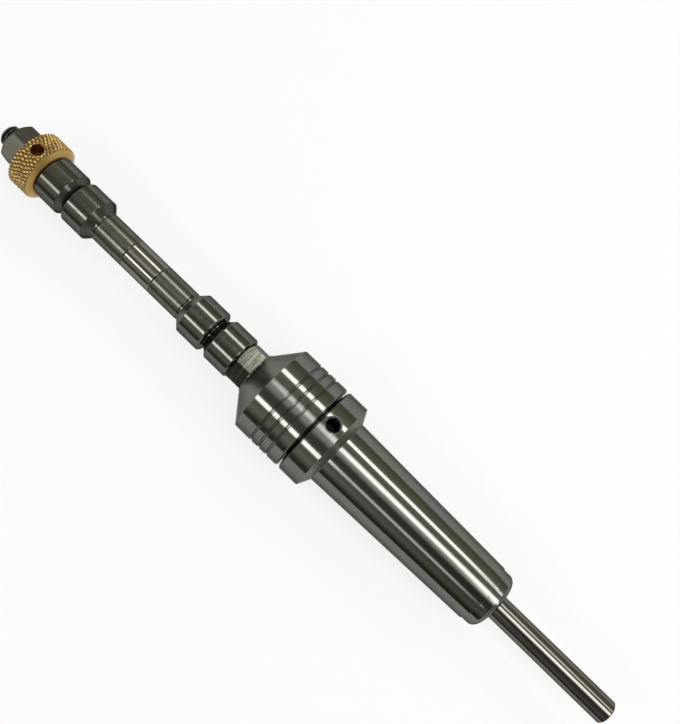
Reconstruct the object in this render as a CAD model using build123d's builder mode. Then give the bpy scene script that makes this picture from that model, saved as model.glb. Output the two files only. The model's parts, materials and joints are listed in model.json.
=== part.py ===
from build123d import *
from math import cos, radians, sin, tan
import os

os.makedirs("parts", exist_ok=True)

# The frame
# Every turned piece has X for its axis. X = 0 is the gauge plane of the Morse taper, +X
# runs to the nut end and +Z is up. Sizes are in millimetres, and an angle about the axis
# is counted from +Z towards +Y, in degrees.

# Shaft and its thread
shaft_diameter = 6.25
shaft_length = 202.0
tail_end_x = -81.9
shaft_chamfer = 0.35
tip_chamfer = 0.7
thread_diameter = 6.0
thread_length = 25.1
thread_gap = 0.05  # radial, between the plain cylinders that stand for a thread's two halves
centre_pilot_radius = 1.0
centre_mouth_radius = 1.75
centre_depth = 4.5
centre_angle = 60.0
drill_point_angle = 118.0

# Taper shank, Morse taper number 2
gauge_diameter = 17.780
taper_on_diameter = 0.04995
shank_large_x = 5.0
shank_small_x = -42.2
relief_radius = 7.55
relief_length = 3.7
relief_corner = 1.6
arbor_bore_radius = 3.5
arbor_bore_chamfer = 0.5

# Flange and threaded spigot of the arbor
flange_radius = 12.45
flange_back_x = 7.05
flange_front_x = 13.15
flange_back_cone = 1.7
flange_edge = 0.45
spigot_radius = 10.0
spigot_front_x = 24.5
spigot_chamfer = 0.9
spigot_undercut_radius = 8.9
spigot_undercut_x = 15.2
seat_relief = 1.0  # between the back of the collet and the bottom of its seat

# Tommy hole in the flange
flange_hole_x = 10.15
flange_hole_radius = 1.7
flange_hole_mouth = 2.15
flange_hole_depth = 6.0
flange_hole_angle = -18.2

# Collet closer: grooved body, cone and hexagon nose
closer_back_x = 13.55
closer_back_chamfer = 0.5
closer_cone_x = 27.4
nose_root_x = 32.75
nose_front_x = 37.7
nose_blank_radius = 5.85
nose_flats = 10.0
nose_flats_start = 0.15
nose_corner_angle = 10.0
nose_bore_radius = 3.7
grip_grooves = 3
grip_groove_first_x = 17.25
grip_groove_pitch = 2.52
grip_groove_width = 0.75
grip_groove_floor = 0.25
grip_groove_depth = 0.3
closer_thread_end_x = 25.5
closer_cavity_radius = 6.4

# Collet
collet_back_x = 13.4
collet_front_x = 31.4
collet_bore_radius = 3.155
collet_radius = 5.75
collet_land_x = 26.9
collet_seat_angle = 8.0
collet_head_angle = 30.0
collet_front_radius = 4.75
collet_groove_radius = 4.7
collet_groove_width = 1.9
collet_head_cone = 1.2
collet_head_land = 0.4
collet_slits = 4
collet_slit_width = 0.7
collet_slit_bridge = 2.6
seat_gap = 0.06
head_gap = 0.1

# Bushes and sleeves on the shaft
stack_bore_radius = 3.175
stack_bore_chamfer = 0.25
bush_radius = 6.0
bush_length = 9.4
bush_chamfer = 0.4
bush_taper = 1.9
bush_land = 0.5
bush_land_radius = 4.15
sleeve_radius = 4.2
sleeve_length = 9.6
sleeve_chamfer = 0.2
sleeve_names = ("sleeve_rear", "sleeve_middle", "sleeve_front")

# Knurled nut
knurled_radius = 8.0
knurled_length = 6.8
knurled_front_edge = 0.3
knurled_back_chamfer = 0.95
knurled_back_radius = 6.3
knurl_depth = 0.3
knurl_front_rim = 0.5
nut_hole_x = 3.65  # from the nut's back face
nut_hole_radius = 1.65
nut_hole_depth = 3.6
nut_hole_angle = -15.0

# Hexagon lock nut
lock_flats = 10.0
lock_blank_radius = 5.85
lock_length = 5.9
lock_front_radius = 4.9
lock_front_chamfer = 0.9
lock_back_chamfer = 0.3
lock_corner_angle = -8.5
nut_bore_chamfer = 0.5

# Stations along the axis that follow from the lengths above
shaft_tip_x = tail_end_x + shaft_length
bush_4_x = nose_front_x
bush_3_x = bush_4_x + bush_length
sleeves_x = bush_3_x + bush_length
bush_2_x = sleeves_x + len(sleeve_names) * sleeve_length
bush_1_x = bush_2_x + bush_length
knurled_x = bush_1_x + bush_length
lock_x = knurled_x + knurled_length


def shank_radius(x):
    """Radius of the Morse taper at a station on the axis."""
    return (gauge_diameter + taper_on_diameter * x) / 2


def radial_plane(x, radius, angle):
    """Plane that lies on a rim, with its normal pointing straight out from the axis."""
    out = Vector(0, sin(radians(angle)), cos(radians(angle)))
    return Plane(origin=Vector(x, 0, 0) + out * radius, x_dir=(1, 0, 0), z_dir=out)


def hexagon_turn(corner_angle):
    """Rotation of a hexagon drawn on the YZ plane that puts a corner at this angle from +Z."""
    return (90 - corner_angle) % 60


def stack_piece_bore(x0, x1):
    """Half of a bush's or sleeve's outline along its bore, from its x1 face to its x0 face."""
    mouth = stack_bore_radius + stack_bore_chamfer
    return [
        (x1, mouth),
        (x1 - stack_bore_chamfer, stack_bore_radius),
        (x0 + stack_bore_chamfer, stack_bore_radius),
        (x0, mouth),
    ]


def groove_outline(middle_x):
    """Outline of one grip groove, whose sides lean away from its floor."""
    floor_radius = flange_radius - grip_groove_depth
    return [
        (middle_x - grip_groove_width / 2, flange_radius),
        (middle_x - grip_groove_floor / 2, floor_radius),
        (middle_x + grip_groove_floor / 2, floor_radius),
        (middle_x + grip_groove_width / 2, flange_radius),
    ]


# Taper arbor: shank, flange and threaded spigot turned from one bar, bored right through.
# The seat for the collet is an 8 degree cone that opens towards the nose.
seat_slope = tan(radians(collet_seat_angle))
seat_offset = seat_gap / cos(radians(collet_seat_angle))
seat_front_radius = collet_radius + seat_offset - (collet_land_x - spigot_front_x) * seat_slope
seat_back_x = collet_back_x - seat_relief
seat_back_radius = seat_front_radius - (spigot_front_x - seat_back_x) * seat_slope
male_thread_radius = spigot_radius - thread_gap

with BuildPart() as taper_arbor:
    with BuildSketch(Plane.XZ):
        with BuildLine():
            Polyline(
                (shank_small_x - relief_length, arbor_bore_radius + arbor_bore_chamfer),
                (shank_small_x - relief_length, relief_radius),
                (shank_small_x, relief_radius),
                (shank_small_x, shank_radius(shank_small_x)),
                (shank_large_x, shank_radius(shank_large_x)),
                (flange_back_x - flange_back_cone, shank_radius(shank_large_x)),
                (flange_back_x, flange_radius),
                (flange_front_x - flange_edge, flange_radius),
                (flange_front_x, flange_radius - flange_edge),
                (flange_front_x, spigot_undercut_radius),
                (spigot_undercut_x, spigot_undercut_radius),
                (spigot_undercut_x, male_thread_radius),
                (spigot_front_x - spigot_chamfer, male_thread_radius),
                (spigot_front_x, male_thread_radius - spigot_chamfer),
                (spigot_front_x, seat_front_radius),
                (seat_back_x, seat_back_radius),
                (seat_back_x, arbor_bore_radius),
                (shank_small_x - relief_length + arbor_bore_chamfer, arbor_bore_radius),
                close=True,
            )
        make_face()
    revolve(axis=Axis.X)
    # The plain end of the shank has a rounded corner
    end_circles = edges().filter_by(GeomType.CIRCLE).group_by(Axis.X)[0]
    fillet(end_circles.sort_by(SortBy.RADIUS)[-1], relief_corner)
    with Locations(radial_plane(flange_hole_x, flange_radius, flange_hole_angle)):
        CounterSinkHole(
            radius=flange_hole_radius,
            counter_sink_radius=flange_hole_mouth,
            depth=flange_hole_depth,
            counter_sink_angle=90,
        )
taper_arbor.part.label = "taper_arbor"
export_step(taper_arbor.part, "parts/taper_arbor.step")


# Collet closer: a screwed cap whose inner 30 degree cone pushes the collet into its seat,
# with three grip grooves round its body.
# Its bore steps down from the thread to the cavity of the collet's head and to the nose.
head_slope = tan(radians(collet_head_angle))
head_offset = head_gap / cos(radians(collet_head_angle))
cone_mouth_x = collet_front_x - (closer_cavity_radius - collet_front_radius - head_offset) / head_slope
cone_throat_x = collet_front_x + (collet_front_radius + head_offset - nose_bore_radius) / head_slope
nose_chamfer = nose_blank_radius - nose_flats / 2
grooves = []
for groove in range(grip_grooves):
    grooves += groove_outline(grip_groove_first_x + groove * grip_groove_pitch)

with BuildPart() as collet_closer:
    with BuildSketch(Plane.XZ):
        with BuildLine():
            Polyline(
                (closer_back_x, spigot_radius + closer_back_chamfer),
                (closer_back_x, flange_radius - closer_back_chamfer),
                (closer_back_x + closer_back_chamfer, flange_radius),
                *grooves,
                (closer_cone_x, flange_radius),
                (nose_root_x, nose_blank_radius),
                (nose_front_x - nose_chamfer * head_slope, nose_blank_radius),
                (nose_front_x, nose_flats / 2),
                (nose_front_x, nose_bore_radius + stack_bore_chamfer),
                (nose_front_x - stack_bore_chamfer, nose_bore_radius),
                (cone_throat_x, nose_bore_radius),
                (cone_mouth_x, closer_cavity_radius),
                (closer_thread_end_x, closer_cavity_radius),
                (closer_thread_end_x, spigot_radius),
                (closer_back_x + closer_back_chamfer, spigot_radius),
                close=True,
            )
        make_face()
    revolve(axis=Axis.X)
    # Six spanner flats milled on the nose
    with BuildSketch(Plane.YZ.offset(nose_root_x + nose_flats_start)):
        Circle(2 * nose_blank_radius)
        RegularPolygon(
            nose_flats / 2,
            6,
            major_radius=False,
            rotation=hexagon_turn(nose_corner_angle),
            mode=Mode.SUBTRACT,
        )
    extrude(amount=nose_front_x - nose_root_x, mode=Mode.SUBTRACT)
collet_closer.part.label = "collet_closer"
export_step(collet_closer.part, "parts/collet_closer.step")


# Collet: a sprung double cone, slit from both ends by turns so that it closes evenly
head_base_radius = collet_front_radius + collet_head_cone * head_slope
head_base_x = collet_front_x - collet_head_cone
groove_front_x = head_base_x - collet_head_land
groove_back_x = groove_front_x - collet_groove_width
collet_back_radius = collet_radius - (collet_land_x - collet_back_x) * seat_slope
slit_middle_radius = (collet_radius + collet_bore_radius) / 2
slit_span = 2 * (collet_radius - collet_bore_radius)

with BuildPart() as collet:
    with BuildSketch(Plane.XZ):
        with BuildLine():
            Polyline(
                (collet_back_x, collet_bore_radius),
                (collet_back_x, collet_back_radius),
                (collet_land_x, collet_radius),
                (groove_back_x, collet_radius),
                (groove_back_x, collet_groove_radius),
                (groove_front_x, collet_groove_radius),
                (groove_front_x, head_base_radius),
                (head_base_x, head_base_radius),
                (collet_front_x, collet_front_radius),
                (collet_front_x, collet_bore_radius),
                close=True,
            )
        make_face()
    revolve(axis=Axis.X)
    # Slits from the back end, then slits from the front end between them
    for first_x, start_angle in (
        (collet_back_x, 0),
        (collet_back_x + collet_slit_bridge, 180 / collet_slits),
    ):
        with BuildSketch(Plane.YZ.offset(first_x)):
            with PolarLocations(slit_middle_radius, collet_slits, start_angle=start_angle):
                Rectangle(slit_span, collet_slit_width)
        extrude(amount=collet_front_x - collet_back_x - collet_slit_bridge, mode=Mode.SUBTRACT)
collet.part.label = "collet"
export_step(collet.part, "parts/collet.step")


# Mandrel shaft: a plain ground rod, threaded and centre drilled at its nut end
shaft_radius = shaft_diameter / 2
shaft_thread_radius = thread_diameter / 2 - thread_gap
thread_start_x = shaft_tip_x - thread_length
centre_cone = (centre_mouth_radius - centre_pilot_radius) / tan(radians(centre_angle / 2))
pilot_point = centre_pilot_radius / tan(radians(drill_point_angle / 2))

with BuildPart() as mandrel_shaft:
    with BuildSketch(Plane.XZ):
        with BuildLine():
            Polyline(
                (tail_end_x, 0),
                (tail_end_x, shaft_radius - shaft_chamfer),
                (tail_end_x + shaft_chamfer, shaft_radius),
                (thread_start_x - shaft_chamfer, shaft_radius),
                (thread_start_x, shaft_thread_radius),
                (shaft_tip_x - tip_chamfer, shaft_thread_radius),
                (shaft_tip_x, shaft_thread_radius - tip_chamfer),
                (shaft_tip_x, centre_mouth_radius),
                (shaft_tip_x - centre_cone, centre_pilot_radius),
                (shaft_tip_x - centre_depth, centre_pilot_radius),
                (shaft_tip_x - centre_depth - pilot_point, 0),
                close=True,
            )
        make_face()
    revolve(axis=Axis.X)
mandrel_shaft.part.label = "mandrel_shaft"
export_step(mandrel_shaft.part, "parts/mandrel_shaft.step")


# Turning bushes: each has a full-size body, a taper and a short land that meets the sleeves.
# The two at the nut end taper towards the arbor, and the two at the nose are turned round.
for bush_name, start_x, towards_nut in (
    ("bush_1", bush_1_x, False),
    ("bush_2", bush_2_x, False),
    ("bush_3", bush_3_x, True),
    ("bush_4", bush_4_x, True),
):
    steps = [
        (0, bush_land_radius),
        (bush_land, bush_land_radius),
        (bush_land + bush_taper, bush_radius),
        (bush_length - bush_chamfer, bush_radius),
        (bush_length, bush_radius - bush_chamfer),
    ]
    if towards_nut:
        outside = [(start_x + bush_length - along, radius) for along, radius in reversed(steps)]
    else:
        outside = [(start_x + along, radius) for along, radius in steps]
    with BuildPart() as bush:
        with BuildSketch(Plane.XZ):
            with BuildLine():
                Polyline(*outside, *stack_piece_bore(start_x, start_x + bush_length), close=True)
            make_face()
        revolve(axis=Axis.X)
    bush.part.label = bush_name
    export_step(bush.part, f"parts/{bush_name}.step")


# Sleeves: three short tubes that stand for the blank between the bushes
for place, sleeve_name in enumerate(sleeve_names):
    sleeve_x = sleeves_x + place * sleeve_length
    sleeve_end = sleeve_x + sleeve_length
    with BuildPart() as sleeve:
        with BuildSketch(Plane.XZ):
            with BuildLine():
                Polyline(
                    (sleeve_x, sleeve_radius - sleeve_chamfer),
                    (sleeve_x + sleeve_chamfer, sleeve_radius),
                    (sleeve_end - sleeve_chamfer, sleeve_radius),
                    (sleeve_end, sleeve_radius - sleeve_chamfer),
                    *stack_piece_bore(sleeve_x, sleeve_end),
                    close=True,
                )
            make_face()
        revolve(axis=Axis.X)
    sleeve.part.label = sleeve_name
    export_step(sleeve.part, f"parts/{sleeve_name}.step")


# Knurled nut: brass, with a knurled band, a bevelled back and one tommy hole
knurled_end = knurled_x + knurled_length
knurl_end = knurled_end - knurl_front_rim
band_radius = knurled_radius - knurl_depth / 2
nut_bore_radius = thread_diameter / 2

with BuildPart() as knurled_nut:
    with BuildSketch(Plane.XZ):
        with BuildLine():
            Polyline(
                (knurled_x, knurled_back_radius),
                (knurled_x + knurled_back_chamfer, band_radius),
                (knurl_end, band_radius),
                (knurl_end, knurled_radius),
                (knurled_end - knurled_front_edge, knurled_radius),
                (knurled_end, knurled_radius - knurled_front_edge),
                (knurled_end, nut_bore_radius + nut_bore_chamfer),
                (knurled_end - nut_bore_chamfer, nut_bore_radius),
                (knurled_x + nut_bore_chamfer, nut_bore_radius),
                (knurled_x, nut_bore_radius + nut_bore_chamfer),
                close=True,
            )
        make_face()
    revolve(axis=Axis.X)
    with Locations(radial_plane(knurled_x + nut_hole_x, knurled_radius, nut_hole_angle)):
        Hole(nut_hole_radius, depth=nut_hole_depth)
knurled_nut.part.label = "knurled_nut"
export_step(knurled_nut.part, "parts/knurled_nut.step")


# Lock nut: a hexagon nut, bevelled on both faces, that jams against the knurled nut
lock_end = lock_x + lock_length

with BuildPart() as lock_nut:
    with BuildSketch(Plane.XZ):
        with BuildLine():
            Polyline(
                (lock_x, lock_blank_radius - lock_back_chamfer),
                (lock_x + lock_back_chamfer, lock_blank_radius),
                (lock_end - lock_front_chamfer, lock_blank_radius),
                (lock_end, lock_front_radius),
                (lock_end, nut_bore_radius + nut_bore_chamfer),
                (lock_end - nut_bore_chamfer, nut_bore_radius),
                (lock_x + nut_bore_chamfer, nut_bore_radius),
                (lock_x, nut_bore_radius + nut_bore_chamfer),
                close=True,
            )
        make_face()
    revolve(axis=Axis.X)
    with BuildSketch(Plane.YZ.offset(lock_x)):
        Circle(2 * lock_blank_radius)
        RegularPolygon(
            lock_flats / 2,
            6,
            major_radius=False,
            rotation=hexagon_turn(lock_corner_angle),
            mode=Mode.SUBTRACT,
        )
    extrude(amount=lock_length, mode=Mode.SUBTRACT)
lock_nut.part.label = "lock_nut"
export_step(lock_nut.part, "parts/lock_nut.step")
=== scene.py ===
"""Pen mandrel on a pale bench: fine shapes, steel and brass finishes, light and camera.

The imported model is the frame. Each turned piece is skinned again with finer rings, so that
long reflections run true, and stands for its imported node. Sizes and places are in
millimetres and are turned to metres where a mesh, a lamp or the camera is made.
"""

import json
import logging
import math
from collections.abc import Callable, Sequence
from dataclasses import dataclass
from enum import Enum

import bmesh
import bpy
import numpy as np
from mathutils import Matrix, Vector

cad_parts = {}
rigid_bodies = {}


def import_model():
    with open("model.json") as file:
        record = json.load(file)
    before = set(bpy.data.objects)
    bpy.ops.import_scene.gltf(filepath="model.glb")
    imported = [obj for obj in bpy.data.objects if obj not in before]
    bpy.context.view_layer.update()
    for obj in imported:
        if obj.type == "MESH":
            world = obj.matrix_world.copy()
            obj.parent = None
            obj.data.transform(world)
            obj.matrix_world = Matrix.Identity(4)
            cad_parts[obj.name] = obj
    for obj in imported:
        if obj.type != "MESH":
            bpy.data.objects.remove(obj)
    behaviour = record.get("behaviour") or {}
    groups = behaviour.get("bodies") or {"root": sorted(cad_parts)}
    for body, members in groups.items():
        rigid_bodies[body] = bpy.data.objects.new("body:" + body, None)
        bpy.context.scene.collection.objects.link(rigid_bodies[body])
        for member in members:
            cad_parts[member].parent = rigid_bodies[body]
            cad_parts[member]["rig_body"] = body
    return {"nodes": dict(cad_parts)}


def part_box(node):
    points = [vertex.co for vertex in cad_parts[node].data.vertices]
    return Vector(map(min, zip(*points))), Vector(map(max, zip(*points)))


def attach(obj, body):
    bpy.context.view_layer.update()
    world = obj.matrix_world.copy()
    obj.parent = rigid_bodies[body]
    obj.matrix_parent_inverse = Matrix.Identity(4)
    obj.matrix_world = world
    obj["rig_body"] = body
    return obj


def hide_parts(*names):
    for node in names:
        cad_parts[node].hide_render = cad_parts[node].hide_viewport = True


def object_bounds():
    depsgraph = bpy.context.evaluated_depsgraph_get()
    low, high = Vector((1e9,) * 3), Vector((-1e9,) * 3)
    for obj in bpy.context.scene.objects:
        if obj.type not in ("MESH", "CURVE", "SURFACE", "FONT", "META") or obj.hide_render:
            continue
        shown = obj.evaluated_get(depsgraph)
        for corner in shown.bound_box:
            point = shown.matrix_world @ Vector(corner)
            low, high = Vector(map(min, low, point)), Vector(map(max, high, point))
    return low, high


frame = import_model()
CAD_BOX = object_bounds()

MM = 0.001
LOG = logging.getLogger("pen_mandrel")

Point = tuple[float, float, float]
Profile = list[tuple[float, float]]
Stops = tuple[tuple[float, str], ...]
Inputs = dict[str | int, object]


# Colour and nodes

# Settings of the Mix node for colours, and of the Map Range node for soft ends
BLENDED = {"data_type": "RGBA"}
MULTIPLIED = {"data_type": "RGBA", "blend_type": "MULTIPLY"}
SMOOTH = {"interpolation_type": "SMOOTHSTEP"}


def linear(code: str) -> tuple[float, ...]:
    """Turn an sRGB hex colour into the linear colour that a shader takes.

    Args:
        code: Colour such as "#8f8d86".

    Returns:
        Linear red, green, blue and an alpha of one.
    """
    levels = [int(code[place : place + 2], 16) / 255 for place in (1, 3, 5)]
    parts = [c / 12.92 if c <= 0.04045 else ((c + 0.055) / 1.055) ** 2.4 for c in levels]
    return (*parts, 1.0)


def connect(tree: bpy.types.NodeTree, node: bpy.types.Node, inputs: Inputs) -> None:
    """Give a node's inputs their values and their links.

    Args:
        tree: Node tree of the node.
        node: The node.
        inputs: Its input sockets by name or number, each with a value, with an output to
            link, or with a node, which stands for its first output in use.
    """
    for socket, value in inputs.items():
        if isinstance(value, bpy.types.Node):
            value = next(output for output in value.outputs if output.enabled)
        if isinstance(value, bpy.types.NodeSocket):
            tree.links.new(value, node.inputs[socket])
        else:
            node.inputs[socket].default_value = value


def add_node(
    tree: bpy.types.NodeTree, kind: str, inputs: Inputs | None = None, **settings: object
) -> bpy.types.Node:
    """Add one node with its settings, its values and its links.

    Args:
        tree: Node tree that the node goes into.
        kind: Type of the node, without the leading "ShaderNode".
        inputs: Its inputs, as connect takes them.
        **settings: Properties of the node itself.

    Returns:
        The new node.
    """
    node = tree.nodes.new("ShaderNode" + kind)
    for name, value in settings.items():
        setattr(node, name, value)
    connect(tree, node, inputs or {})
    return node


def axis_distance(tree: bpy.types.NodeTree, place: bpy.types.NodeSocket) -> bpy.types.Node:
    """Add the distance of a place from the turning axis."""
    across = add_node(tree, "VectorMath", {0: place, 1: (0.0, 1.0, 1.0)}, operation="MULTIPLY")
    return add_node(tree, "VectorMath", {0: across}, operation="LENGTH")


def per_metre(size: float) -> float:
    """Return how many patches of a size in millimetres fill a metre."""
    return 1 / (size * MM)


def start_material(
    name: str,
) -> tuple[bpy.types.Material, bpy.types.NodeTree, bpy.types.NodeSocket]:
    """Start a node material.

    Args:
        name: Name of the material.

    Returns:
        The material, its node tree, and the output that gives the place on the piece.
    """
    material = bpy.data.materials.new(name)
    material.use_nodes = True
    tree = material.node_tree
    return material, tree, add_node(tree, "TexCoord").outputs["Object"]


# Finishes

SHADER = "Principled BSDF"
# A grey specular tint keeps steel from brightening to a mirror where it is seen edge on, as
# painted shade on the flanks
STEEL = {"Metallic": 1.0, "Specular Tint": linear("#a0a0a0")}
# Levels of a noise that a Map Range takes for its two ends: marks, stains and cutter marks
MARK_ENDS = {1: 0.3, 2: 0.7}
STAIN_ENDS = {1: 0.35, 2: 0.7}
CUT_ENDS = {1: 0.47, 2: 0.87}
# How dark and how light a mark makes the metal
MARK_SHADE = {3: 0.93, 4: 1.04}
# A mark is a dark and a light patch of noise together
PATCHES_PER_MARK = 2
# An anisotropic highlight turned by a quarter spreads along the axis and not round it
QUARTER_TURN = 0.25


@dataclass(frozen=True)
class TurnedSteel:
    """Steel finished on a lathe or a grinder, so that its marks run round the axis.

    Attributes:
        name: Name of the material.
        base: Colour of clean metal.
        stain: Colour where oil and air have dulled it.
        stain_share: How far the stain covers the metal, from 0 to 1.
        stain_size: Size of a stained patch.
        roughness: Roughness between the marks.
        mark_roughness: Roughness that the marks add.
        mark_pitch: Distance from mark to mark.
        mark_depth: Height of the marks in the bump.
        anisotropy: How much further a highlight spreads along the axis than round it.
        mark_strength: Strength of the bump.
    """

    name: str
    base: str
    stain: str
    stain_share: float
    stain_size: float
    roughness: float
    mark_roughness: float
    mark_pitch: float
    mark_depth: float
    anisotropy: float
    mark_strength: float = 0.5

    def material(self) -> bpy.types.Material:
        """Build the node material.

        Returns:
            The material, ready to be given to a piece.
        """
        material, tree, place = start_material(self.name)
        along = add_node(tree, "SeparateXYZ", {0: place}).outputs["X"]
        section = add_node(tree, "CombineXYZ", {0: along, 1: axis_distance(tree, place)})
        pattern = {"Scale": per_metre(PATCHES_PER_MARK * self.mark_pitch), "Detail": 3.0}
        marks = add_node(
            tree,
            "TexNoise",
            {"Vector": section, "Roughness": 0.7, **pattern},
            noise_dimensions="2D",
        )
        pattern = {"Scale": per_metre(self.stain_size), "Detail": 4.0}
        patches = add_node(tree, "TexNoise", {"Vector": place, **pattern})
        cover = add_node(tree, "MapRange", {0: patches, **STAIN_ENDS, 4: self.stain_share})
        colours = {6: linear(self.base), 7: linear(self.stain)}
        metal = add_node(tree, "Mix", {0: cover, **colours}, **BLENDED)
        shade = add_node(tree, "MapRange", {0: marks, **MARK_ENDS, **MARK_SHADE})
        marked = add_node(tree, "Mix", {0: 1.0, 6: metal, 7: shade}, **MULTIPLIED)
        span = {3: self.roughness, 4: self.roughness + self.mark_roughness}
        grain = add_node(tree, "MapRange", {0: marks, **MARK_ENDS, **span})
        stained = {0: cover, 1: self.mark_roughness, 2: grain}
        dulled = add_node(tree, "Math", stained, operation="MULTIPLY_ADD")
        relief = {"Strength": self.mark_strength, "Distance": self.mark_depth * MM}
        inputs = {
            **STEEL,
            "Base Color": marked,
            "Roughness": dulled,
            "Normal": add_node(tree, "Bump", {"Height": marks, **relief}),
            "Anisotropic": self.anisotropy,
            "Anisotropic Rotation": QUARTER_TURN,
            "Tangent": add_node(tree, "Tangent", direction_type="RADIAL", axis="X"),
        }
        connect(tree, tree.nodes[SHADER], inputs)
        return material


@dataclass(frozen=True)
class MilledSteel:
    """Flats cut by an end mill: a fine criss-cross of cutter marks on bright metal.

    Attributes:
        name: Name of the material.
        base: Colour of the crests of the marks.
        groove: Colour down in the marks.
        mark_pitch: Distance from mark to mark.
        mark_depth: Height of the marks in the bump.
        roughness: Roughness of the flat.
        mark_strength: Strength of the bump.
        along_share: How strong the marks along the axis are beside those across it.
        across_marks: How the noise is stretched for the marks across the axis.
        along_marks: How it is stretched for those along it.
    """

    name: str
    base: str
    groove: str
    mark_pitch: float
    mark_depth: float
    roughness: float
    mark_strength: float = 0.6
    along_share: float = 0.35
    across_marks: Point = (1.0, 0.04, 0.04)
    along_marks: Point = (0.15, 1.0, 1.0)

    def material(self) -> bpy.types.Material:
        """Build the node material.

        Returns:
            The material, ready to be given to a piece.
        """
        material, tree, place = start_material(self.name)
        pattern = {"Scale": per_metre(PATCHES_PER_MARK * self.mark_pitch), "Detail": 2.0}
        cuts = []
        for stretch in (self.across_marks, self.along_marks):
            lines = add_node(tree, "VectorMath", {0: place, 1: stretch}, operation="MULTIPLY")
            cuts.append(add_node(tree, "TexNoise", {"Vector": lines, **pattern}))
        both = {0: cuts[1], 1: self.along_share, 2: cuts[0]}
        crossed = add_node(tree, "Math", both, operation="MULTIPLY_ADD")
        height = add_node(tree, "MapRange", {0: crossed, **CUT_ENDS})
        colours = {6: linear(self.groove), 7: linear(self.base)}
        relief = {"Strength": self.mark_strength, "Distance": self.mark_depth * MM}
        inputs = {
            **STEEL,
            "Base Color": add_node(tree, "Mix", {0: height, **colours}, **BLENDED),
            "Roughness": self.roughness,
            "Normal": add_node(tree, "Bump", {"Height": height, **relief}),
        }
        connect(tree, tree.nodes[SHADER], inputs)
        return material


@dataclass(frozen=True)
class WorkedMetal:
    """Metal with a pattern pressed or cut into it, coloured by height: painted highlight on the
    crests, painted shade in the roots.

    Attributes:
        name: Name of the material.
        crest: Colour of the crests, lightened as painted highlight.
        root: Colour of the roots, darkened as painted shade.
        root_radius: Distance from the axis of the roots.
        crest_radius: Distance from the axis of the crests.
        roughness: Roughness of the crests.
        root_roughness: Roughness of the roots.
        grain: Size of the fine unevenness.
        grain_depth: Height of the fine unevenness in the bump.
        grain_strength: Strength of the bump.
        grain_share: How much the unevenness adds to the height that sets the colour.
        dark_below: Height under which all is as dark as the roots.
    """

    name: str
    crest: str
    root: str
    root_radius: float
    crest_radius: float
    roughness: float
    root_roughness: float
    grain: float
    grain_depth: float
    grain_strength: float = 0.5
    grain_share: float = 0.35
    dark_below: float = 0.15

    def material(self) -> bpy.types.Material:
        """Build the node material.

        Returns:
            The material, ready to be given to a piece.
        """
        material, tree, place = start_material(self.name)
        pattern = {"Scale": per_metre(self.grain), "Detail": 4.0}
        speckle = add_node(tree, "TexNoise", {"Vector": place, **pattern})
        ends = {1: self.root_radius * MM, 2: self.crest_radius * MM}
        height = add_node(tree, "MapRange", {0: axis_distance(tree, place), **ends})
        grain_and_height = {0: speckle, 1: self.grain_share, 2: height}
        height_with_grain = add_node(tree, "Math", grain_and_height, operation="MULTIPLY_ADD", use_clamp=True)
        # Share of the crest colour by height: painted highlight on high points, painted shade
        # low down
        painted_light_share = add_node(tree, "MapRange", {0: height_with_grain, 1: self.dark_below})
        colours = {6: linear(self.root), 7: linear(self.crest)}
        gloss = {3: self.root_roughness, 4: self.roughness}
        relief = {"Strength": self.grain_strength, "Distance": self.grain_depth * MM}
        inputs = {
            "Metallic": 1.0,
            "Base Color": add_node(tree, "Mix", {0: painted_light_share, **colours}, **BLENDED),
            "Roughness": add_node(tree, "MapRange", {0: painted_light_share, **gloss}),
            "Normal": add_node(tree, "Bump", {"Height": speckle, **relief}),
        }
        connect(tree, tree.nodes[SHADER], inputs)
        return material


@dataclass(frozen=True)
class PaintedBoard:
    """Matt white board under the part, with the faint mottle of rolled paint."""

    name: str = "matt_white_painted_board"
    base: str = "#e4e4e3"
    mottle: str = "#e0e0de"
    mottle_size: float = 9.0
    roughness: float = 0.9
    specular: float = 0.1
    glow: float = 0.8

    def material(self) -> bpy.types.Material:
        """Build the node material.

        Returns:
            The material, ready to be given to the floor.
        """
        material, tree, place = start_material(self.name)
        shader = tree.nodes[SHADER]
        pattern = {"Vector": place, "Scale": per_metre(self.mottle_size)}
        colours = {6: linear(self.base), 7: linear(self.mottle)}
        spots = add_node(tree, "TexNoise", pattern)
        inputs = {
            "Base Color": add_node(tree, "Mix", {0: spots, **colours}, **BLENDED),
            "Roughness": self.roughness,
            "Specular IOR Level": self.specular,
        }
        connect(tree, shader, inputs)
        # The board shows white to the eye and in the metal, and keeps the part's shadow
        path = add_node(tree, "LightPath").outputs
        seen = path["Is Camera Ray"]
        for ray in ("Is Glossy Ray", "Is Transmission Ray"):
            both = {0: seen, 1: path[ray]}
            seen = add_node(tree, "Math", both, operation="ADD", use_clamp=True)
        share = add_node(tree, "Math", {0: seen, 1: self.glow}, operation="MULTIPLY")
        white = add_node(tree, "Emission", {"Strength": 1.0})
        mixed = add_node(tree, "MixShader", {0: share, 1: shader, 2: white})
        connect(tree, tree.nodes["Material Output"], {"Surface": mixed})
        return material


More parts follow.
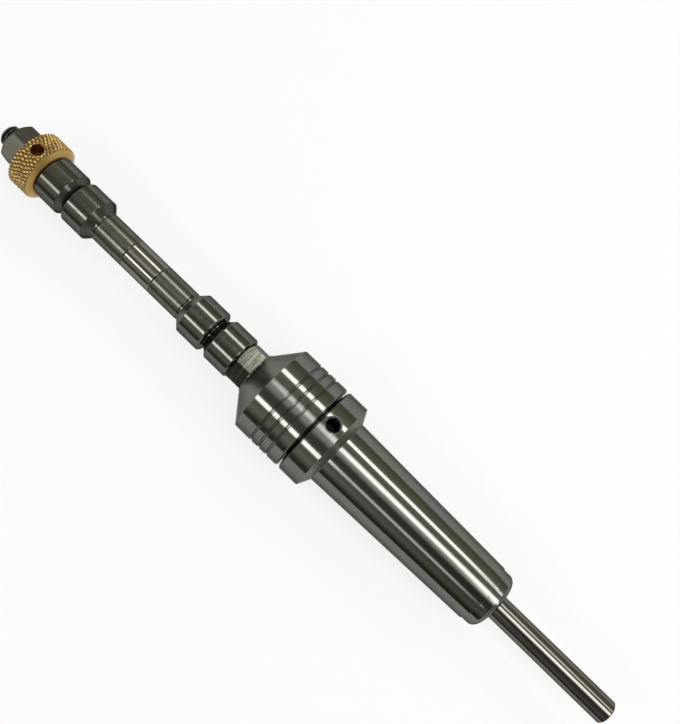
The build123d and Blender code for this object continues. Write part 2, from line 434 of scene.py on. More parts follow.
class Finish(Enum):
    """The finishes of this part.

    Mark pitches are the feeds of each way of working the metal. The marks of grinding and
    drawing are about 0.02 mm apart, too fine to show, and are drawn 0.12 to 0.14 mm apart.
    """

    # Ground tool steel: dark mirror of the room, with long crisp reflections
    GROUND = TurnedSteel(
        "ground_tool_steel", "#73736f", "#67665f", 0.3, 14.0, 0.10, 0.03, 0.12, 0.0008, 0.5
    )
    # Finish-turned steel: as dark, with fine rings that soften the reflections' ends
    TURNED = TurnedSteel(
        "finish_turned_steel", "#73736f", "#66645e", 0.3, 10.0, 0.10, 0.03, 0.16, 0.0014, 0.5
    )
    # Faced cones and tapers: a coarser feed leaves them satin, so reflections there are soft
    FACED = TurnedSteel(
        "satin_faced_steel", "#7d7c75", "#6a6961", 0.35, 3.0, 0.20, 0.05, 0.2, 0.0008, 0.3
    )
    # Back cone of the flange: roughed with a coarse feed, so it scatters the light, and painted
    # lighter than the rest of the arbor, as painted light on a cone that mirrors shade
    ROUGHED = TurnedSteel(
        "rough_turned_steel", "#95948b", "#7f7e76", 0.3, 3.0, 0.34, 0.05, 0.25, 0.002, 0.2
    )
    # Tapers of the bushes that face the arbor: satin too, and painted darker than the tapers
    # that face the nut, as painted shade
    TAPER = TurnedSteel(
        "faced_steel_painted_shade", "#4f4e48", "#403f39", 0.4, 2.0, 0.19, 0.04, 0.2, 0.0006, 0.3
    )
    # Centreless ground rod: a little warmer, with scratches from sliding through the collet
    ROD = TurnedSteel(
        "centreless_ground_steel", "#726f6a", "#63605a", 0.4, 8.0, 0.12, 0.03, 0.12, 0.0015, 0.5
    )
    # Turned bush steel: dull and blotched from handling
    BUSH = TurnedSteel(
        "handled_turned_steel", "#676761", "#52524c", 0.5, 1.6, 0.125, 0.06, 0.22, 0.0012, 0.45
    )
    # Turned tube of the outer sleeves: as dull as the bushes, its highlights spread wide
    SLEEVE = TurnedSteel(
        "dull_turned_steel", "#6a6a63", "#56564f", 0.5, 2.2, 0.26, 0.015, 0.18, 0.0002, 0.45
    )
    # Drawn tube of the middle sleeve: brighter, with crisp highlights
    DRAWN = TurnedSteel(
        "drawn_steel_tube", "#7e7c77", "#6e6c66", 0.4, 5.0, 0.11, 0.03, 0.14, 0.0015, 0.5
    )
    # Satin hexagon bar: the mill's skin of the bar scatters the light
    SATIN = MilledSteel("satin_hexagon_steel_bar", "#66635b", "#5a5850", 0.15, 0.003, 0.34)
    # Hardened spring steel of the collet: dark, with a hint of oil
    SPRING = TurnedSteel(
        "hardened_spring_steel", "#676661", "#4c4b44", 0.4, 4.0, 0.2, 0.06, 0.14, 0.002, 0.4
    )
    # Steel down in holes, in the undercut and on the screwed spigot: painted nearly black, as
    # painted shade in these recesses
    OILED = TurnedSteel(
        "steel_painted_recess_shade", "#383530", "#201f1c", 0.7, 1.2, 0.32, 0.15, 0.2, 0.004, 0.2
    )
    # Milled flats of the nose: light, with the cutter's criss-cross
    MILLED = MilledSteel("end_milled_steel", "#808076", "#32312c", 0.14, 0.009, 0.21)
    # Turned brass: smooth rims and faces of the nut, darker towards the bore
    BRASS = WorkedMetal("turned_brass", "#af9057", "#8e7241", 5.0, 7.9, 0.36, 0.44, 0.25, 0.003)
    # Knurled brass: painted highlight on the points of the knurl, and painted brown shade in
    # its roots
    KNURL = WorkedMetal(
        "knurled_brass", "#cbae71", "#6e5329", 7.72, 8.0, 0.29, 0.5, 0.12, 0.004
    )
    # Brass down in the tommy hole: painted brown, darker the deeper it lies, as painted shade
    OILED_BRASS = WorkedMetal(
        "brass_painted_hole_shade", "#b57e33", "#734d1b", 4.4, 8.2, 0.3, 0.5, 0.2, 0.004
    )
    # Cut thread: grey crests, with the roots and the centre hole painted black as shade
    THREAD = WorkedMetal(
        "cut_steel_painted_shade", "#63615b", "#22211e", 2.45, 2.95, 0.3, 0.55, 0.15, 0.004
    )

    def material(self) -> bpy.types.Material:
        """Return this finish's material, which is built once."""
        return bpy.data.materials.get(self.value.name) or self.value.material()


# Skins: rings of points about the turning axis

# Points nearer to each other than this become one
MERGE_DISTANCE = 0.001
# Rounds in which an angle and the surface's radius there, found one from the other, close in
SURFACE_ROUNDS = 3
# Angles above which an edge is eased by its modifier, or else stays sharp
EASED_ABOVE = math.radians(28)
SHARP_ABOVE = math.radians(38)
EASED_STEPS = 2


@dataclass(frozen=True)
class Span:
    """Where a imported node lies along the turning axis, and its radius."""

    start: float
    end: float
    radius: float

    @classmethod
    def of(cls, node: str) -> "Span":
        """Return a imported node's span, from the frame."""
        low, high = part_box(node)
        return cls(low.x / MM, high.x / MM, (high.z - low.z) / 2 / MM)

    def bore(self, bore: float, chamfer: float) -> Profile:
        """Return the profile of a chamfered bore right through, from the end to the start."""
        mouths = [(self.end, bore + chamfer), (self.start, bore + chamfer)]
        return [mouths[0], (self.end - chamfer, bore), (self.start + chamfer, bore), mouths[1]]


@dataclass(frozen=True)
class RadialHole:
    """A hole drilled towards the axis.

    Attributes:
        station: Place of its axis along X.
        angle: Angle of its axis, from +Z towards +Y, in degrees.
        radius: Radius of the hole.
        mouth: Radius of its rim at the surface.
        rim_depth: How far below the surface the rim meets the hole.
        depth: Depth of its flat floor, from the surface.
    """

    station: float
    angle: float
    radius: float
    mouth: float
    rim_depth: float
    depth: float


def hexagon_radius(degrees: np.ndarray, flats: float, corner: float) -> np.ndarray:
    """Return a hexagon's radius at angles, from its width over flats and one corner's angle."""
    return flats / 2 / np.cos(np.radians((degrees - corner) % 60 - 30))


def stand_in(piece: bpy.types.Object, node: str) -> None:
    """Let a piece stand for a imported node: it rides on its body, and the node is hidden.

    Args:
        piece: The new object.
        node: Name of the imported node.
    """
    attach(piece, frame["nodes"][node]["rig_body"])
    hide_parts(node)
    LOG.info("%s stands for %s, %d faces", piece.name, node, len(piece.data.polygons))


class Skin:
    """Points and faces of one piece, laid down ring by ring about the X axis."""

    def __init__(self, segments: int, finish: Finish, first_angle: float = 0.0) -> None:
        """Start an empty skin.

        Args:
            segments: Number of points in each ring.
            finish: Finish of all faces for which no other is given.
            first_angle: Angle of each ring's first point, in degrees.
        """
        self.segments = segments
        self.degrees = first_angle + np.arange(segments) * 360 / segments
        self.points: list[Point] = []
        self.faces: list[tuple[int, ...]] = []
        self.finishes = [finish]
        self.finish_of_face: list[int] = []

    def _point(self, station: float, radius: float, degree: float) -> int:
        """Add a point.

        Args:
            station: Its place along X.
            radius: Its distance from the axis.
            degree: Its angle, from +Z towards +Y.

        Returns:
            The number of the point.
        """
        angle = math.radians(degree)
        self.points.append((station, radius * math.sin(angle), radius * math.cos(angle)))
        return len(self.points) - 1

    def _face(self, corners: tuple[int, ...], finish: Finish | None) -> None:
        """Add a face.

        Args:
            corners: Numbers of its points.
            finish: Its finish, if not the skin's.
        """
        finish = finish or self.finishes[0]
        if finish not in self.finishes:
            self.finishes.append(finish)
        self.faces.append(corners)
        self.finish_of_face.append(self.finishes.index(finish))

    def ring(self, station: float | np.ndarray, radius: float | np.ndarray) -> int:
        """Add one ring of points.

        Args:
            station: Station of the ring, or one for each of its points.
            radius: Radius of the ring, or one for each of its points.

        Returns:
            The number of the ring's first point.
        """
        stations = np.broadcast_to(station, self.segments)
        radii = np.broadcast_to(radius, self.segments)
        first = len(self.points)
        for x, r, degree in zip(stations, radii, self.degrees):
            self._point(float(x), float(r), float(degree))
        return first

    def band(self, first: int, second: int, finish: Finish | None = None, gap: int = 0) -> None:
        """Join two rings by faces.

        Args:
            first: First point of one ring.
            second: First point of the next ring.
            finish: Finish of the faces, if not the skin's.
            gap: Number of steps, from the rings' first points, that stay open.
        """
        for place in range(gap, self.segments):
            after = (place + 1) % self.segments
            self._face((first + place, first + after, second + after, second + place), finish)

    def section(
        self,
        profile: Sequence[tuple],
        closed: bool = True,
        finish: Finish | None = None,
        special: dict[int, Finish] | None = None,
    ) -> list[int]:
        """Turn a whole profile about the axis.

        Args:
            profile: Points of the profile as station and radius; either may be an array.
            closed: Whether the last point joins the first.
            finish: Finish of the faces, if not the skin's.
            special: Another finish for some bands, by the number of the band.

        Returns:
            The first point of each ring.
        """
        rings = [self.ring(station, radius) for station, radius in profile]
        pairs = list(zip(rings, rings[1:])) + ([(rings[-1], rings[0])] if closed else [])
        for number, (first, second) in enumerate(pairs):
            self.band(first, second, (special or {}).get(number, finish))
        return rings

    def drilled_band(
        self,
        rings: list[int],
        gap: int,
        hole: RadialHole,
        surface: Callable[[float, float], float],
        steps: int,
        hole_finish: Finish,
        finish: Finish | None = None,
    ) -> None:
        """Join rings by faces, with a drilled hole in a gap of their grid.

        The gap is filled by loops that shrink from its outline to the mouth of the hole,
        all lying on the surface, and the hole follows with its rim, wall and floor.

        Args:
            rings: First point of each ring, in order; the outer two frame the gap.
            gap: Number of steps in the gap, from each ring's first point.
            hole: The hole.
            surface: Radius of the surface at a station and an angle in degrees.
            steps: Number of loops between the outline and the mouth.
            hole_finish: Finish down in the hole.
            finish: Finish of the surface, if not the skin's.
        """
        for first, second in zip(rings, rings[1:]):
            self.band(first, second, finish, gap)
        outline = [rings[0] + place for place in range(gap)]
        outline += [ring + gap for ring in rings[:-1]]
        outline += [rings[-1] + place for place in range(gap, 0, -1)]
        outline += reversed(rings[1:])
        axis = math.radians(hole.angle)
        out = Vector((0.0, math.sin(axis), math.cos(axis)))
        side = Vector((0.0, math.cos(axis), -math.sin(axis)))
        offsets = []
        for number in outline:
            point = Vector(self.points[number])
            offsets.append((point.x - hole.station, point.dot(side)))
        headings = [math.atan2(across, along) for along, across in offsets]
        loops = [outline]
        for step in range(1, steps + 1):
            share = step / steps
            loop = []
            for (along, across), heading in zip(offsets, headings):
                x = hole.station + along + (hole.mouth * math.cos(heading) - along) * share
                t = across + (hole.mouth * math.sin(heading) - across) * share
                degree = hole.angle
                for _ in range(SURFACE_ROUNDS):
                    degree = hole.angle + math.degrees(math.asin(t / surface(x, degree)))
                loop.append(self._point(x, surface(x, degree), degree))
            loops.append(loop)
        crown = surface(hole.station, hole.angle)
        for depth in (hole.rim_depth, hole.depth):
            first = len(self.points)
            for heading in headings:
                place = side * (hole.radius * math.sin(heading)) + out * (crown - depth)
                x = hole.station + hole.radius * math.cos(heading)
                self.points.append((x, place.y, place.z))
            loops.append(list(range(first, len(self.points))))
        for number, (outer, inner) in enumerate(zip(loops, loops[1:])):
            where = finish if number <= steps else hole_finish
            for place in range(len(outline)):
                after = (place + 1) % len(outline)
                self._face((outer[place], outer[after], inner[after], inner[place]), where)
        self._face(tuple(loops[-1]), hole_finish)

    def build(self, name: str, node: str, edge: float = 0.0) -> None:
        """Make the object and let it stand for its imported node.

        Args:
            name: Name of the object.
            node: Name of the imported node.
            edge: Width to which sharp edges are eased, or 0 to keep them sharp.
        """
        mesh = bpy.data.meshes.new(name)
        mesh.from_pydata([Vector(point) * MM for point in self.points], [], self.faces)
        mesh.polygons.foreach_set("material_index", self.finish_of_face)
        shape = bmesh.new()
        shape.from_mesh(mesh)
        bmesh.ops.remove_doubles(shape, verts=shape.verts, dist=MERGE_DISTANCE * MM)
        bmesh.ops.recalc_face_normals(shape, faces=shape.faces)
        shape.to_mesh(mesh)
        shape.free()
        mesh.polygons.foreach_set("use_smooth", [True] * len(mesh.polygons))
        for finish in self.finishes:
            mesh.materials.append(finish.material())
        piece = bpy.data.objects.new(name, mesh)
        bpy.context.scene.collection.objects.link(piece)
        if edge:
            ease = piece.modifiers.new("eased_edges", "BEVEL")
            ease.width = edge * MM
            ease.segments = EASED_STEPS
            ease.limit_method = "ANGLE"
            ease.angle_limit = EASED_ABOVE
            ease.use_clamp_overlap = False
            ease.harden_normals = True
        else:
            mesh.set_sharp_from_angle(angle=SHARP_ABOVE)
        stand_in(piece, node)


# Sub-assemblies


@dataclass
class ArborPiece:
    """Taper arbor: Morse taper shank, flange with its tommy hole, and screwed spigot."""

    gauge_radius: float = 8.89
    taper: float = 0.04995 / 2
    shank_small: float = -42.2
    shoulder: float = 5.0
    relief_radius: float = 7.55
    relief_corner: float = 1.6
    corner_steps: int = 8
    bore: float = 3.5
    bore_chamfer: float = 0.5
    flange_back: float = 7.05
    flange_front: float = 13.15
    flange_cone: float = 1.7
    flange_edge: float = 0.45
    undercut_radius: float = 8.9
    undercut_end: float = 15.2
    spigot_radius: float = 9.95
    spigot_chamfer: float = 0.9
    seat_mouth: float = 5.5
    edge: float = 0.07
    segments: int = 192
    hole: RadialHole = RadialHole(10.15, -18.2, 1.7, 2.12, 0.42, 6.0)
    gap_points: int = 16
    gap_rings: int = 9
    gap_margin: float = 0.3
    gap_loops: int = 5

    def shank_radius(self, station: float) -> float:
        """Return the radius of the taper at a station."""
        return self.gauge_radius + self.taper * station

    def build(self) -> None:
        """Skin the arbor."""
        span = Span.of("taper_arbor")
        rim = span.radius
        first_angle = self.hole.angle - self.gap_points / 2 * 360 / self.segments
        skin = Skin(self.segments, Finish.GROUND, first_angle)
        corner = [
            (
                span.start + self.relief_corner * (1 + math.cos(turn)),
                self.relief_radius - self.relief_corner * (1 - math.sin(turn)),
            )
            for turn in np.radians(np.linspace(180, 90, self.corner_steps + 1))
        ]
        body = [
            (self.flange_front, self.undercut_radius),
            (self.undercut_end, self.undercut_radius),
            (self.undercut_end, self.spigot_radius),
            (span.end - self.spigot_chamfer, self.spigot_radius),
            (span.end, self.spigot_radius - self.spigot_chamfer),
            (span.end, self.seat_mouth),
            (self.flange_front, self.bore),
            (span.start + self.bore_chamfer, self.bore),
            (span.start, self.bore + self.bore_chamfer),
            *corner,
            (self.shank_small, self.relief_radius),
            (self.shank_small, self.shank_radius(self.shank_small)),
            (self.shoulder, self.shank_radius(self.shoulder)),
            (self.flange_back - self.flange_cone, self.shank_radius(self.shoulder)),
            (self.flange_back, rim),
        ]
        # The undercut, the spigot and the seat are painted nearly black as shade, and the
        # flange's back is a rough cone
        special = dict.fromkeys(range(6), Finish.OILED) | {len(body) - 2: Finish.ROUGHED}
        rings = skin.section(body, closed=False, special=special)
        edge_start = self.flange_front - self.flange_edge
        low, high = self.flange_back + self.gap_margin, edge_start - self.gap_margin
        inner = [skin.ring(station, rim) for station in np.linspace(low, high, self.gap_rings)]
        last_rim = skin.ring(edge_start, rim)
        front = skin.ring(self.flange_front, rim - self.flange_edge)
        skin.band(rings[-1], inner[0])
        skin.drilled_band(
            inner,
            self.gap_points,
            self.hole,
            lambda station, degree: rim,
            self.gap_loops,
            # Painted shade, nearly black, down in the tommy hole
            Finish.OILED,
        )
        skin.band(inner[-1], last_rim)
        skin.band(last_rim, front)
        skin.band(front, rings[0])
        skin.build("arbor_body", "taper_arbor", self.edge)


@dataclass
class CloserPiece:
    """Collet closer: grooved body, cone, and nose with six milled spanner flats."""

    back_chamfer: float = 0.5
    cone_start: float = 27.4
    nose_root: float = 32.75
    blank_radius: float = 5.85
    flats: float = 10.0
    flats_start: float = 32.9
    corner: float = 10.0
    nose_angle: float = 30.0
    nose_chamfer: float = 0.02
    nose_bore: float = 3.7
    bore_chamfer: float = 0.25
    thread_radius: float = 10.0
    thread_end: float = 25.5
    cavity_radius: float = 6.4
    cavity_end: float = 28.6
    throat: float = 33.3
    groove_first: float = 17.25
    groove_pitch: float = 2.52
    groove_count: int = 3
    groove_width: float = 0.75
    groove_floor: float = 0.25
    groove_depth: float = 0.3
    edge: float = 0.06
    segments: int = 192

    def build(self) -> None:
        """Skin the closer."""
        span = Span.of("collet_closer")
        rim = span.radius
        skin = Skin(self.segments, Finish.TURNED, self.corner)
        body = [
            (span.start, rim - self.back_chamfer),
            (span.start + self.back_chamfer, rim),
        ]
        mouth, floor = self.groove_width / 2, self.groove_floor / 2
        for groove in range(self.groove_count):
            middle = self.groove_first + groove * self.groove_pitch
            body += [
                (middle - mouth, rim),
                (middle - floor, rim - self.groove_depth),
                (middle + floor, rim - self.groove_depth),
                (middle + mouth, rim),
            ]
        body += [
            (self.cone_start, rim),
            (self.nose_root, self.blank_radius),
            (self.flats_start, self.blank_radius),
        ]
        hexagon = hexagon_radius(skin.degrees, self.flats, self.corner)
        slope = math.tan(math.radians(self.nose_angle))
        front = span.end - (hexagon - self.flats / 2) * slope
        outside = skin.section(body, closed=False, special={len(body) - 3: Finish.FACED})
        flats = [skin.ring(self.flats_start, hexagon), skin.ring(front, hexagon)]
        inside = skin.section(
            [
                (span.end, self.flats / 2 - self.nose_chamfer),
                (span.end, self.nose_bore + self.bore_chamfer),
                (span.end - self.bore_chamfer, self.nose_bore),
                (self.throat, self.nose_bore),
                (self.cavity_end, self.cavity_radius),
                (self.thread_end, self.cavity_radius),
                (self.thread_end, self.thread_radius),
                (span.start + self.back_chamfer, self.thread_radius),
                (span.start, self.thread_radius + self.back_chamfer),
            ],
            closed=False,
            # The bore, the cavity and the thread inside are painted nearly black as shade
            special=dict.fromkeys(range(2, 8), Finish.OILED),
        )
        skin.band(outside[-1], flats[0])
        skin.band(flats[0], flats[1], Finish.MILLED)
        skin.band(flats[1], inside[0])
        skin.band(inside[-1], outside[0])
        skin.build("closer_body", "collet_closer", self.edge)


@dataclass
class ShaftPiece:
    """Mandrel shaft: ground rod with a cut thread and a centre hole at its nut end."""

    chamfer: float = 0.35
    support: float = 0.1
    tip_chamfer: float = 0.7
    thread_length: float = 25.1
    thread_pitch: float = 1.0
    thread_crest: float = 2.95
    thread_depth: float = 0.52
    root_share: float = 0.2
    flank_share: float = 0.62
    centre_pilot: float = 1.0
    centre_mouth: float = 1.75
    centre_depth: float = 4.5
    centre_angle: float = 30.0
    drill_point: float = 0.6
    segments: int = 96
    steps_per_pitch: int = 12

    def thread_radius(self, station: float, degrees: np.ndarray, start: float) -> np.ndarray:
        """Radius of the thread at each angle of a ring.

        Args:
            station: Station of the ring.
            degrees: Angles of its points.
            start: Station where the thread begins.

        Returns:
            The radii. The flanks lean by 30 degrees, crest and root are flat, and the
            first turn fades in.
        """
        phase = (station / self.thread_pitch + degrees / 360) % 1.0
        flank = 1 - np.abs(2 * phase - 1)
        height = np.clip((flank - self.root_share) / self.flank_share, 0, 1)
        depth = self.thread_depth * min(1.0, (station - start) / self.thread_pitch)
        return self.thread_crest - depth * (1 - height)

    def build(self) -> None:
        """Skin the shaft."""
        span = Span.of("mandrel_shaft")
        skin = Skin(self.segments, Finish.ROD)
        start = span.end - self.thread_length
        rod = [
            (span.start, 0.0),
            (span.start, span.radius - self.chamfer),
            (span.start + self.chamfer, span.radius),
            (start - self.chamfer - self.support, span.radius),
            (start - self.chamfer, span.radius),
            (start, self.thread_crest),
        ]
        previous = skin.section(rod, closed=False)[-1]
        tip_radius = self.thread_crest - self.tip_chamfer
        count = round(self.thread_length / self.thread_pitch * self.steps_per_pitch)
        for station in np.linspace(start, span.end, count + 1)[1:]:
            radius = self.thread_radius(station, skin.degrees, start)
            ring = skin.ring(station, np.minimum(radius, tip_radius + span.end - station))
            # The thread's roots are painted nearly black as shade
            skin.band(previous, ring, Finish.THREAD)
            previous = ring
        slope = math.tan(math.radians(self.centre_angle))
        cone_length = (self.centre_mouth - self.centre_pilot) / slope
        centre = [
            (span.end, self.centre_mouth),
            (span.end - cone_length, self.centre_pilot),
            (span.end - self.centre_depth, self.centre_pilot),
            (span.end - self.centre_depth - self.drill_point, 0.0),
        ]
        # The centre hole is painted nearly black as shade
        drilled = skin.section(centre, closed=False, finish=Finish.THREAD)
        skin.band(previous, drilled[0], Finish.THREAD)
        skin.build("shaft_rod", "mandrel_shaft")


@dataclass
class BushPiece:
    """Turning bush: a full-size barrel, a taper and a short land."""

    node: str
    towards_nut: bool
    bore: float = 3.175
    bore_chamfer: float = 0.25
    chamfer: float = 0.4
    taper: float = 1.9
    land: float = 0.5
    land_radius: float = 4.15
    edge: float = 0.09
    segments: int = 160

    def build(self) -> None:
        """Skin the bush from its land, which lies at its nut end or at its other end."""
        span = Span.of(self.node)
        length = span.end - span.start
        profile = [
            (0.0, self.land_radius),
            (self.land, self.land_radius),
            (self.land + self.taper, span.radius),
            (length - self.chamfer, span.radius),
            (length, span.radius - self.chamfer),
            *Span(0.0, length, span.radius).bore(self.bore, self.bore_chamfer),
        ]
        origin, way = (span.end, -1) if self.towards_nut else (span.start, 1)
        skin = Skin(self.segments, Finish.BUSH)
        skin.section(
            [(origin + way * along, radius) for along, radius in profile],
            # The taper that faces the arbor is painted darker, as painted shade
            special={1: Finish.FACED if self.towards_nut else Finish.TAPER},
        )
        skin.build(f"{self.node}_body", self.node, self.edge)


@dataclass
class SleevePiece:
    """Short sleeve between the bushes."""

    node: str
    finish: Finish
    bore: float = 3.175
    bore_chamfer: float = 0.25
    chamfer: float = 0.2
    edge: float = 0.05
    segments: int = 144

    def build(self) -> None:
        """Skin the sleeve."""
        span = Span.of(self.node)
        profile = [
            (span.start, span.radius - self.chamfer),
            (span.start + self.chamfer, span.radius),
            (span.end - self.chamfer, span.radius),
            (span.end, span.radius - self.chamfer),
            *span.bore(self.bore, self.bore_chamfer),
        ]
        skin = Skin(self.segments, self.finish)
        skin.section(profile)
        skin.build(f"{self.node}_tube", self.node, self.edge)


@dataclass
class NutPair:
    """Knurled brass nut with its tommy hole, and the hexagon nut that locks it."""

    back_chamfer: float = 0.95
    back_radius: float = 6.3
    front_edge: float = 0.3
    plain_share: float = 0.85
    knurl_depth: float = 0.33
    knurl_count: int = 46
    knurl_rings: int = 64
    points_per_diamond: int = 12
    knurl_angle: float = 30.0
    knurl_fullness: float = 1.25
    unevenness: float = 0.11
    uneven_turn: float = 0.9
    uneven_length: float = 1.7
    rim_level: float = 0.6
    rim_width: float = 0.3
    hole: RadialHole = RadialHole(107.75, -15.0, 1.65, 1.68, 0.06, 3.6)
    gap_angle: float = 15.0
    gap_reach: float = 2.05
    gap_loops: int = 10
    bore: float = 3.0
    bore_chamfer: float = 0.5
    lock_flats: float = 10.0
    lock_corner: float = -8.5
    lock_blank_radius: float = 5.85
    lock_front_radius: float = 4.9
    lock_front_chamfer: float = 0.9
    lock_back_chamfer: float = 0.3
    lock_least_chamfer: float = 0.02
    lock_edge: float = 0.02
    lock_segments: int = 192

    def knurl_radius(self, station: float, degrees: np.ndarray, span: Span) -> np.ndarray:
        """Radius of the nut's rim, with the diamonds of the knurl.

        Args:
            station: Station of the ring.
            degrees: Angles of its points.
            span: Where the nut lies.

        Returns:
            The radii. Two sets of grooves cross, one leaning each way from the axis, the
            bevels of both ends cut the diamonds off, and round the hole the knurl is flattened
            level.
        """
        degrees = np.asarray(degrees)
        along = station - span.start
        arc = 2 * math.pi * span.radius / self.knurl_count
        lean = along * math.tan(math.radians(self.knurl_angle)) / arc
        turn = degrees / 360 * self.knurl_count
        drift = self.unevenness * np.sin(turn * self.uneven_turn + along * self.uneven_length)
        ridges = [
            1 - np.abs(2 * ((turn + side * (lean + drift)) % 1.0) - 1) for side in (-1, 1)
        ]
        crest = np.clip(self.knurl_fullness * np.minimum(ridges[0], ridges[1]), 0, 1)
        across = np.radians(degrees - self.hole.angle) * span.radius
        away = np.hypot(station - self.hole.station, across) - self.hole.mouth
        crest = self.rim_level + (crest - self.rim_level) * np.clip(away / self.rim_width, 0, 1)
        knurled = span.radius - self.knurl_depth * (1 - crest)
        band = span.radius - self.knurl_depth / 2
        back = self.back_radius + (band - self.back_radius) * along / self.back_chamfer
        front = span.radius - self.front_edge + span.end - station
        return np.minimum(knurled, min(back, front))

    def build_knurled_nut(self) -> None:
        """Skin the brass nut."""
        span = Span.of("knurled_nut")
        segments = self.knurl_count * self.points_per_diamond
        half_gap = round(self.gap_angle / 360 * segments)
        skin = Skin(segments, Finish.BRASS, self.hole.angle - half_gap * 360 / segments)
        rest = skin.section(span.bore(self.bore, self.bore_chamfer), closed=False)
        stations = np.linspace(span.start, span.end, self.knurl_rings)
        rings = [
            skin.ring(station, self.knurl_radius(station, skin.degrees, span))
            for station in stations
        ]
        framed = np.flatnonzero(np.abs(stations - self.hole.station) <= self.gap_reach)
        low, high = int(framed[0]), int(framed[-1])
        plain_end = span.start + self.back_chamfer * self.plain_share
        skin.band(rest[-1], rings[0])
        for number in range(len(rings) - 1):
            if not low <= number < high:
                # The knurl's points take a painted highlight and its roots painted shade
                finish = Finish.KNURL if stations[number] > plain_end else Finish.BRASS
                skin.band(rings[number], rings[number + 1], finish)
        skin.drilled_band(
            rings[low : high + 1],
            2 * half_gap,
            self.hole,
            lambda station, degree: float(self.knurl_radius(station, degree, span)),
            self.gap_loops,
            # Painted shade down in the tommy hole
            Finish.OILED_BRASS,
            Finish.KNURL,
        )
        skin.band(rings[-1], rest[0])
        skin.build("knurled_nut_body", "knurled_nut")

    def build_lock_nut(self) -> None:
        """Skin the hexagon nut."""
        span = Span.of("lock_nut")
        skin = Skin(self.lock_segments, Finish.SATIN, self.lock_corner)
        hexagon = hexagon_radius(skin.degrees, self.lock_flats, self.lock_corner)
        slope = self.lock_front_chamfer / (self.lock_blank_radius - self.lock_front_radius)
        back_radius = self.lock_blank_radius - self.lock_back_chamfer
        back_chamfer = np.maximum(hexagon - back_radius, self.lock_least_chamfer)
        profile = [
            (span.start, np.minimum(hexagon, back_radius)),
            (span.start + back_chamfer, hexagon),
            (span.end - (hexagon - self.lock_front_radius) * slope, hexagon),
            (span.end, self.lock_front_radius),
            *span.bore(self.bore, self.bore_chamfer),
        ]
        skin.section(profile)
        skin.build("lock_nut_body", "lock_nut", self.lock_edge)


# Studio

# Where one part of the room gives way to the next, by the sine of the direction along X, or
# along Y between the two sides: the dimmer tail, the sides, the ends and the tail's corner
TAIL_ENDS = {1: -0.25, 2: 0.05}
SIDE_ENDS = {1: -0.2, 2: 0.1}
FAR_ENDS = {1: 0.5, 2: 0.66}
CORNER_ENDS = {1: -0.72, 2: -0.84}


@dataclass(frozen=True)
class Lamp:
    """A rectangular soft lamp that faces the turning axis squarely.

    Attributes:
        name: Name of the lamp.
        place: Centre of the lamp.
        width: Size along the turning axis.
        height: Size across the axis.
        radiance: Brightness of the middle of its face, where 1 is white.
        fade: Share of its half height over which it fades out towards its long edges.
    """

    name: str
    place: Point
    width: float
    height: float
    radiance: float
    fade: float = 0.45

    def _fade_out(self, tree: bpy.types.NodeTree) -> None:
        """Let the light fade towards the lamp's long edges, as a diffuser does.

        Args:
            tree: Node tree of the lamp.
        """
        face = add_node(tree, "NewGeometry").outputs["Parametric"]
        height = add_node(tree, "SeparateXYZ", {0: face}).outputs["Y"]
        # The face runs from 0 to 1, so its long edges lie half away from its middle
        half = 0.5
        offset = add_node(tree, "Math", {0: height, 1: half}, operation="SUBTRACT")
        away = add_node(tree, "Math", {0: offset}, operation="ABSOLUTE")
        ends = {1: half * (1 - self.fade), 2: half, 3: 1.0, 4: 0.0}
        strength = add_node(tree, "MapRange", {0: away, **ends}, **SMOOTH)
        connect(tree, tree.nodes["Emission"], {"Strength": strength})

    def hang(self) -> None:
        """Make the lamp."""
        width, height = self.width * MM, self.height * MM
        data = bpy.data.lights.new(self.name, "AREA")
        data.shape = "RECTANGLE"
        data.size = width
        data.size_y = height
        data.energy = self.radiance * math.pi * width * height
        data.use_nodes = True
        self._fade_out(data.node_tree)
        lamp = bpy.data.objects.new(self.name, data)
        along = Vector((1.0, 0.0, 0.0))
        back = Vector((0.0, *self.place[1:])).normalized()
        turn = Matrix((along, back.cross(along), back)).transposed().to_4x4()
        lamp.matrix_world = Matrix.Translation(Vector(self.place) * MM) @ turn
        bpy.context.scene.collection.objects.link(lamp)


